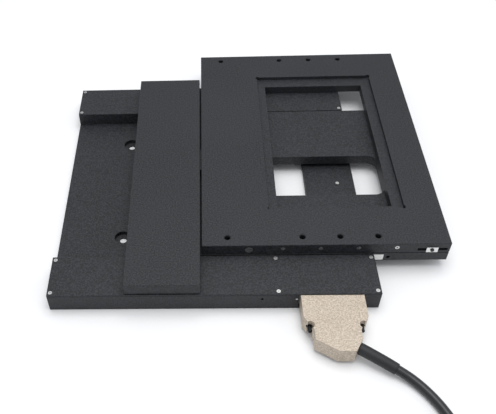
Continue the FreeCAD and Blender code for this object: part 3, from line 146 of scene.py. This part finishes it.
def anodised(name, tone, mottle):
    """Black anodised aluminium: a bead-blasted grain, faint mottling and a painted highlight along
    the edges.
    """
    sh = Shader(name)
    fine = sh.noise(2600.0, 3.0)
    coarse = sh.noise(780.0, 4.0)
    broad = sh.noise(14.0, 2.0)
    # painted highlight: the colour is lightened along sharp edges, standing in for the light their
    # small chamfers catch
    edge_glint = sh.ramp(sh.edge_highlight_mask(0.35 * MM), ((0.0, 0.0), (1.0, 0.22)))
    dark = tuple(part * (1.0 - 0.8 * mottle) for part in tone)
    light = tuple(part * (1.0 + mottle) for part in tone)
    colour = sh.ramp(coarse, ((0.36, dark), (0.50, tone), (0.64, light)))
    colour = sh.mix(sh.ramp(broad, ((0.35, 0.0), (0.7, 0.18))), colour, light)
    # the grey of the painted edge highlight
    colour = sh.mix(edge_glint, colour, (0.11, 0.11, 0.12))
    sh.bump(fine, 0.20, 0.05 * MM)
    return sh.set(Base_Color=colour, Specular_IOR_Level=0.40,
                  Roughness=sh.ramp(coarse, ((0.3, 0.50), (0.7, 0.62))))


def steel(name, tint, low, high, stretch=(1.0, 1.0, 1.0)):
    """Ground or turned steel, with fine scratches along the stretched direction."""
    sh = Shader(name)
    lines = sh.noise(900.0, 4.0, stretch)
    cloud = sh.noise(60.0, 2.0)
    dull = tuple(0.8 * part for part in tint)
    colour = sh.mix(sh.ramp(cloud, ((0.3, 0.0), (0.8, 0.35))), tint, dull)
    sh.bump(lines, 0.10, 0.02 * MM)
    return sh.set(Base_Color=colour, Metallic=1.0,
                  Roughness=sh.ramp(lines, ((0.3, low), (0.7, high))))


def metallised_hood():
    """The hood's satin plating: warm grey-gold, with a fine orange-peel and a painted highlight
    along the edges.
    """
    sh = Shader("plated_hood")
    fine = sh.noise(1500.0, 3.0)
    coarse = sh.noise(800.0, 3.0)
    cloud = sh.noise(70.0, 3.0)
    pits = sh.ramp(coarse, ((0.36, 0.6), (0.50, 0.0), (0.64, 0.0)))
    peaks = sh.ramp(coarse, ((0.50, 0.0), (0.66, 0.6)))
    # painted highlight: the colour is lightened along sharp edges, standing in for the light they
    # catch
    edge_glint = sh.ramp(sh.edge_highlight_mask(0.4 * MM), ((0.0, 0.0), (1.0, 0.35)))
    colour = sh.ramp(cloud, (
        (0.30, (0.47, 0.395, 0.315)), (0.55, (0.51, 0.43, 0.345)), (0.78, (0.48, 0.42, 0.34))))
    colour = sh.mix(pits, colour, (0.31, 0.26, 0.20))
    colour = sh.mix(peaks, colour, (0.72, 0.64, 0.54))
    colour = sh.mix(edge_glint, colour, (0.80, 0.74, 0.65))
    sh.bump(fine, 0.22, 0.05 * MM)
    return sh.set(Base_Color=colour, Metallic=0.30,
                  Roughness=sh.ramp(fine, ((0.3, 0.42), (0.7, 0.58))))


def rubber(name, dark, light, roughness, grain=1200.0):
    """Cable jacket, boot or tie: soft black plastic with a faint mould grain."""
    sh = Shader(name)
    fine = sh.noise(grain, 3.0)
    cloud = sh.noise(90.0, 2.0)
    colour = sh.ramp(fine, ((0.3, dark), (0.75, light)))
    bloom = tuple(1.6 * part for part in light)
    colour = sh.mix(sh.ramp(cloud, ((0.45, 0.0), (0.8, 0.25))), colour, bloom)
    sh.bump(fine, 0.12, 0.05 * MM)
    return sh.set(Base_Color=colour, Specular_IOR_Level=0.5,
                  Roughness=sh.ramp(fine, ((0.3, roughness), (0.7, roughness + 0.12))))


def board():
    """Green solder mask over copper tracks."""
    sh = Shader("wiring_board")
    cloud = sh.noise(300.0, 2.0, (1.0, 6.0, 1.0))
    colour = sh.ramp(cloud, ((0.42, (0.01, 0.09, 0.035)), (0.52, (0.03, 0.20, 0.08))))
    return sh.set(Base_Color=colour, Roughness=sh.ramp(cloud, ((0.3, 0.3), (0.7, 0.42))))


MATERIALS = {
    "black_anodised": anodised("black_anodised", (0.0158, 0.0168, 0.0198), 1.0),
    "bright_steel": steel("bright_steel", (0.70, 0.70, 0.69), 0.24, 0.38, (0.05, 1.0, 1.0)),
    "stainless": steel("stainless", (0.60, 0.60, 0.59), 0.30, 0.46),
    "black_steel": steel("black_steel", (0.045, 0.045, 0.048), 0.35, 0.5),
    "hood_metal": metallised_hood(),
    "black_plastic": rubber("black_plastic", (0.012, 0.012, 0.013), (0.026, 0.026, 0.028), 0.42),
    "cable_black": rubber("cable_jacket", (0.008, 0.009, 0.010), (0.018, 0.019, 0.021), 0.30),
    "boot_black": rubber("boot_rubber", (0.007, 0.007, 0.008), (0.018, 0.019, 0.020), 0.52),
    "bronze": steel("bronze", (0.62, 0.42, 0.20), 0.28, 0.42),
    "board_green": board(),
    "motor_grey": steel("motor_grey", (0.42, 0.43, 0.44), 0.32, 0.48, (1.0, 0.1, 1.0)),
}


def wear(piece, slot_name):
    piece.data.materials.clear()
    piece.data.materials.append(MATERIALS[slot_name])


def dress_cad_nodes():
    for part in frame["record"]["subparts"]:
        wear(NODES[part["node"]], part["material_slot"])


# ---------------------------------------------------------------- cable
# The route's points are the ones the part's cable follows, in millimetres.
CABLE_D = 7.8 * MM
LIE = 3.95           # height of the cable's axis where it lies on the floor
EXIT = mm(115.2, -186.3, 11.2)
ROUTE = [
    EXIT,
    mm(128.8, -194.3, 9.4),
    mm(142.2, -202.6, 6.95),
    mm(153.4, -210.2, 4.7),
    mm(163.8, -222.2, LIE),
    mm(171.9, -236.2, LIE),
    mm(178.8, -253.0, LIE),
    mm(183.6, -271.5, LIE),
    mm(185.4, -290.5, LIE),
]
TAIL = [
    mm(116.0, -362.6, 12.2),
    mm(104.5, -362.4, 10.8),
    mm(92.5, -362.0, 9.2),
    mm(81.0, -362.0, 7.9),
]
COIL_MID = mm(131, -309, 0)
COIL_R = 46 * MM
COIL_LIFT = 0.9 * MM  # the ties' thickness, under the coil
TURNS = 5.25


def eased(angle, start, span=60.0):
    """0 before start, 1 after start + span, and a smooth step between them."""
    share = min(1.0, max(0.0, (angle - start) / span))
    return share * share * (3.0 - 2.0 * share)


def coil_points():
    """Three lanes side by side and two layers: inwards below, up, and outwards above."""
    made = []
    step = 20
    for angle in range(step, int(360 * TURNS), step):
        inwards = eased(angle, 210) + eased(angle, 570)
        up = eased(angle, 870)
        outwards = eased(angle, 1170) + eased(angle, 1530)
        radius = COIL_R + (1.0 - inwards + outwards) * CABLE_D
        height = (0.5 + up) * CABLE_D + COIL_LIFT * min(1.0, angle / 90)
        turn = -math.radians(angle)
        made.append(COIL_MID + Vector((math.cos(turn) * radius, math.sin(turn) * radius, height)))
    return made


def cable():
    points = ROUTE + coil_points() + TAIL
    curve = bpy.data.curves.new("stage_cable_line", "CURVE")
    curve.dimensions = "3D"
    curve.bevel_depth = CABLE_D / 2
    curve.bevel_resolution = 7
    curve.resolution_u = 10
    curve.use_fill_caps = True
    spline = curve.splines.new("NURBS")
    spline.points.add(len(points) - 1)
    for entry, point in zip(spline.points, points):
        entry.co = (*point, 1.0)
    spline.order_u = 3
    spline.use_endpoint_u = True
    made = bpy.data.objects.new("cable_to_controller", curve)
    COLLECTION.objects.link(made)
    made.data.materials.append(MATERIALS["cable_black"])
    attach(made, "base")
    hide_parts("stage_cable", "cable_coil", "cable_tail")
    return made


def curve_line(piece):
    """Points along a curve's own centre line, close together."""
    bare = piece.data.copy()
    bare.bevel_depth = 0.0
    holder = bpy.data.objects.new("line_reader", bare)
    COLLECTION.objects.link(holder)
    graph = bpy.context.evaluated_depsgraph_get()
    mesh = bpy.data.meshes.new_from_object(holder.evaluated_get(graph))
    line = [vertex.co.copy() for vertex in mesh.vertices]
    bpy.data.objects.remove(holder)
    return line


# ---------------------------------------------------------------- detail pieces
SHARP_FROM = math.radians(32)   # edges that turn more than this stay sharp


def mesh_piece(name, body, slot_name, stands_for, builder):
    """A mesh built by builder(bm), in metres, that takes the place of the stated nodes."""
    bm = bmesh.new()
    builder(bm)
    bmesh.ops.recalc_face_normals(bm, faces=bm.faces)
    mesh = bpy.data.meshes.new(name)
    bm.to_mesh(mesh)
    bm.free()
    made = bpy.data.objects.new(name, mesh)
    COLLECTION.objects.link(made)
    mesh.materials.append(MATERIALS[slot_name])
    mesh.shade_smooth()
    mesh.set_sharp_from_angle(angle=SHARP_FROM)
    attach(made, body)
    if stands_for:
        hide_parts(*stands_for)
    return made


def ring(bm, centre, side, over, radius, around):
    """A circle of vertices in the plane of side and over."""
    made = []
    for number in range(around):
        turn = 2 * math.pi * number / around
        outward = side * math.cos(turn) + over * math.sin(turn)
        made.append(bm.verts.new(centre + outward * radius))
    return made


def bridge(bm, near, far):
    """A band of faces between two rings of the same length."""
    count = len(near)
    for number in range(count):
        after = (number + 1) % count
        bm.faces.new((near[number], near[after], far[after], far[number]))


def skin(bm, rings):
    """A closed surface through a row of rings."""
    for near, far in zip(rings, rings[1:]):
        bridge(bm, near, far)
    bm.faces.new(rings[0])
    bm.faces.new(rings[-1])


def lathe(bm, start, axis, profile, around):
    """A closed solid of revolution: profile holds (distance along axis, radius) pairs."""
    side = axis.orthogonal().normalized()
    over = axis.cross(side)
    skin(bm, [ring(bm, start + axis * along, side, over, radius, around)
              for along, radius in profile])


def tube_along(bm, line, radii, around=28):
    """A tube along the points of line, with one radius for each point and closed ends."""
    rings = []
    for number, point in enumerate(line):
        before, after = line[max(number - 1, 0)], line[min(number + 1, len(line) - 1)]
        ahead = (after - before).normalized()
        side = ahead.cross(Vector((0, 0, 1))).normalized()
        rings.append(ring(bm, point, side, side.cross(ahead), radii[number], around))
    skin(bm, rings)


BOOT_LONG = 32 * MM
BOOT_R = (5.0 * MM, 4.7 * MM)    # at the hood and at the end
BOOT_LIP = (0.5 * MM, 0.25 * MM)  # the end's rounding, along and across
BOOT_STEP = 0.02 * MM            # depth of the step down to the cable
BOOT_PLAY = 0.1 * MM


def sleeve(line):
    """The moulded sleeve around the cable's first stretch, following the cable's own line."""
    points, gone = [line[0]], 0.0
    for before, after in zip(line, line[1:]):
        gone += (after - before).length
        if gone > BOOT_LONG:
            break
        points.append(after)
    total = sum((b - a).length for a, b in zip(points, points[1:]))
    radii, gone = [], 0.0
    for number, point in enumerate(points):
        if number:
            gone += (point - points[number - 1]).length
        radii.append(BOOT_R[0] + (BOOT_R[1] - BOOT_R[0]) * gone / total)
    radii[-1] = BOOT_R[1]
    ahead = (points[-1] - points[-2]).normalized()
    points.append(points[-1] + ahead * BOOT_LIP[0])
    radii.append(BOOT_R[1] - BOOT_LIP[1])
    points.append(points[-1] + ahead * BOOT_STEP)
    radii.append(CABLE_D / 2 + BOOT_PLAY)
    return mesh_piece("cable_sleeve", "base", "boot_black", ["cable_boot"],
                      lambda bm: tube_along(bm, points, radii))


TIE_W = 3.2 * MM
TIE_T = 0.8 * MM
TIE_PLAY = 0.05 * MM
TIE_CORNER_STEPS = 7              # points on each round corner
TIE_HEAD = (4.5 * MM, 5.0 * MM, 3.0 * MM)
TIE_HEAD_OUT = 3.0 * MM           # the head's place across the bundle
TIE_HEAD_UP = 1.2 * MM
TIE_TURNS = (30, 150, 270)        # degrees around the coil


def bundle_outline(grow):
    """The coil's section with round corners, grown outwards, as (out, up) pairs."""
    wide, tall = 1.5 * CABLE_D + TIE_PLAY, CABLE_D + TIE_PLAY
    radius = CABLE_D / 2
    made = []
    for corner, (x_sign, z_sign) in enumerate(((1, -1), (1, 1), (-1, 1), (-1, -1))):
        for step in range(TIE_CORNER_STEPS):
            bend = math.radians(-90 + 90 * corner + 90 * step / (TIE_CORNER_STEPS - 1))
            made.append((x_sign * (wide - radius) + math.cos(bend) * (radius + grow),
                         z_sign * (tall - radius) + math.sin(bend) * (radius + grow)))
    return made


def coil_tie(bm, degrees):
    """A nylon tie around the coil's bundle at one place, with its head on top."""
    turn = math.radians(degrees)
    out = Vector((math.cos(turn), math.sin(turn), 0))
    along = Vector((-math.sin(turn), math.cos(turn), 0))
    middle = COIL_MID + out * COIL_R + Vector((0, 0, COIL_LIFT + CABLE_D))
    rings = []
    for grow, shift in ((0.0, -1), (TIE_T, -1), (TIE_T, 1), (0.0, 1)):
        rings.append([bm.verts.new(middle + out * x + Vector((0, 0, z)) + along * shift * TIE_W / 2)
                      for x, z in bundle_outline(grow)])
    for number, near in enumerate(rings):
        bridge(bm, near, rings[(number + 1) % len(rings)])
    head = middle + Vector((0, 0, CABLE_D + TIE_T + TIE_HEAD_UP)) + out * TIE_HEAD_OUT
    place = Matrix.Translation(head) @ Matrix.Rotation(turn, 4, "Z")
    bmesh.ops.create_cube(bm, size=1.0, matrix=place @ Matrix.Diagonal((*TIE_HEAD, 1.0)))


def coil_ties():
    def build(bm):
        for degrees in TIE_TURNS:
            coil_tie(bm, degrees)
    return mesh_piece("coil_ties", "base", "black_plastic", [], build)


# The connector's places and the jackscrews' radii, in millimetres.
HOOD_X = 99.2
HOOD_Z = 11.2
FLANGE_Y = -164.3
JACK_DX = 21.1
HEAD_BACK = FLANGE_Y + 1.3
HEAD_FRONT = HEAD_BACK - 2.1
TAIL_END = HEAD_FRONT - 6.0
SHAFT_END = -134.5
SHAFT_R = 1.48
HEAD_R = 2.78
TAIL_R = 1.68
SOCKET_R = 0.9
SOCKET_DEEP = 0.8
JACK_AROUND = 40


def jackscrew(side, sign):
    """A jackscrew: a shaft that reaches the jack post, a rounded head and a tail with a socket."""
    start = mm(HOOD_X + sign * JACK_DX, 0.0, HOOD_Z)
    profile = [
        (SHAFT_END, 1.0), (SHAFT_END - 0.5, SHAFT_R), (HEAD_BACK, SHAFT_R), (HEAD_BACK, 2.5),
        (HEAD_BACK - 0.25, HEAD_R), (HEAD_FRONT + 0.35, HEAD_R), (HEAD_FRONT, 2.45),
        (HEAD_FRONT, TAIL_R), (TAIL_END + 0.4, TAIL_R), (TAIL_END, 1.3), (TAIL_END, SOCKET_R),
        (TAIL_END + SOCKET_DEEP, SOCKET_R),
    ]

    def build(bm):
        lathe(bm, start, Vector((0, 1, 0)),
              [(along * MM, radius * MM) for along, radius in profile], JACK_AROUND)

    return mesh_piece(f"jackscrew_{side}_turned", f"{side}_jackscrew", "black_steel",
                      [f"jackscrew_{side}"], build)


# ---------------------------------------------------------------- the view
CAMERA_AT = mm(-3.7, -479.5, 491.0)
CAMERA_TURN = (-3.37, 47.41, -3.18)   # yaw, pitch below the horizon and roll, in degrees
CAMERA_LENS = 50.25
CAMERA_SENSOR = 36.0
CAMERA_SHIFT = (0.1379, 0.0125)


def camera():
    """The camera's place, heading and lens, for an image 496 wide and 414 high."""
    data = bpy.data.cameras.new("camera")
    made = bpy.data.objects.new("camera", data)
    COLLECTION.objects.link(made)
    yaw, pitch, roll = (math.radians(value) for value in CAMERA_TURN)
    level_share = math.cos(pitch)
    ahead = Vector((math.sin(yaw) * level_share, math.cos(yaw) * level_share, -math.sin(pitch)))
    level = ahead.cross(Vector((0, 0, 1))).normalized()
    above = level.cross(ahead)
    right = level * math.cos(roll) + above * math.sin(roll)
    up = above * math.cos(roll) - level * math.sin(roll)
    turn = Matrix((right, up, -ahead)).transposed().to_4x4()
    made.matrix_world = Matrix.Translation(CAMERA_AT) @ turn
    data.sensor_width = CAMERA_SENSOR
    data.lens = CAMERA_LENS
    data.shift_x, data.shift_y = CAMERA_SHIFT
    bpy.context.scene.camera = made


def floor_material():
    sh = Shader("pale_floor")
    colour = sh.ramp(sh.noise(3.0, 2.0), (
        (0.3, (0.90, 0.905, 0.915)), (0.7, (0.93, 0.93, 0.935))))
    rough = sh.ramp(sh.noise(200.0), ((0.3, 0.5), (0.7, 0.6)))
    return sh.set(Base_Color=colour, Roughness=rough)


FLOOR_HALF = 6.0     # metres


def floor():
    mesh = bpy.data.meshes.new("floor")
    corners = [(x * FLOOR_HALF, y * FLOOR_HALF, 0) for x, y in ((-1, -1), (1, -1), (1, 1), (-1, 1))]
    mesh.from_pydata(corners, [], [(0, 1, 2, 3)])
    made = bpy.data.objects.new("floor", mesh)
    COLLECTION.objects.link(made)
    mesh.materials.append(floor_material())


def lamp(name, place, target, size, power):
    data = bpy.data.lights.new(name, "AREA")
    data.shape = "RECTANGLE"
    data.size, data.size_y = size
    data.energy = power
    made = bpy.data.objects.new(name, data)
    COLLECTION.objects.link(made)
    made.location = place
    made.rotation_mode = "QUATERNION"
    made.rotation_quaternion = (Vector(target) - Vector(place)).to_track_quat("-Z", "Y")


SKY_COLOUR = (0.95, 0.97, 1.0, 1.0)
SKY_STRENGTH = 0.67
# name, place, target, size and power
LAMPS = (
    ("overhead", (0.10, 0.02, 1.6), (0.06, 0.0, 0.0), (1.3, 1.1), 16.2),
    ("side", (1.5, 0.5, 1.1), (0.05, 0.0, 0.0), (1.0, 1.0), 2.0),
)


def studio():
    world = bpy.data.worlds.new("studio")
    bpy.context.scene.world = world
    world.use_nodes = True
    back = world.node_tree.nodes["Background"]
    back.inputs["Color"].default_value = SKY_COLOUR
    back.inputs["Strength"].default_value = SKY_STRENGTH
    for settings in LAMPS:
        lamp(*settings)
    bpy.context.scene.view_settings.view_transform = "Standard"


# ---------------------------------------------------------------- the whole scene
dress_cad_nodes()
flex = cable()
boot = sleeve(curve_line(flex))
ties = coil_ties()
jackscrew("left", -1)
jackscrew("right", 1)
camera()
floor()
studio()
